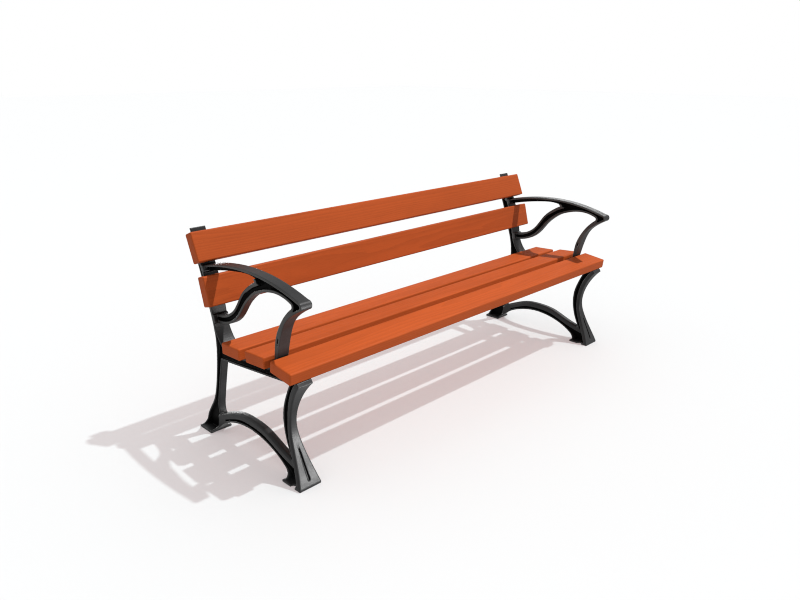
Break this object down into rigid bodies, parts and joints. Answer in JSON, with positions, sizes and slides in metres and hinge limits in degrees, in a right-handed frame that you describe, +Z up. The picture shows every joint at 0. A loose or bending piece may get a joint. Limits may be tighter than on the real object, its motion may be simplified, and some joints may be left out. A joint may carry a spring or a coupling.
{
  "type": "garden bench",
  "caption": "Garden bench with stained wooden planks for seat and back on curved cast-iron side frames with looped armrests.",
  "frame": {"origin": "on the ground under the middle of the bench, at the bottom centre of its bounding box", "axes": "+X along the bench to the sitter's left, +Y from the front to the back, +Z up"},
  "size_m": [1.812, 0.6291, 0.7586],
  "materials": {
    "casting": "satin black paint over a fine sand-cast texture",
    "seat_wood": "semi-gloss red-brown stain over fine straight grain",
    "back_wood": "semi-gloss red-brown stain over fine straight grain",
    "fasteners": "dull blackened zinc plating"
  },
  "bodies": {
    "root": {"side_frame_left": "casting", "side_frame_right": "casting", "coach_screws_left": "fasteners", "coach_screws_right": "fasteners", "washers_left": "fasteners", "washers_right": "fasteners", "seat_plank_front": "seat_wood", "seat_plank_middle": "seat_wood", "seat_plank_rear": "seat_wood", "back_plank_lower": "back_wood", "back_plank_upper": "back_wood"}
  },
  "joints": []
}
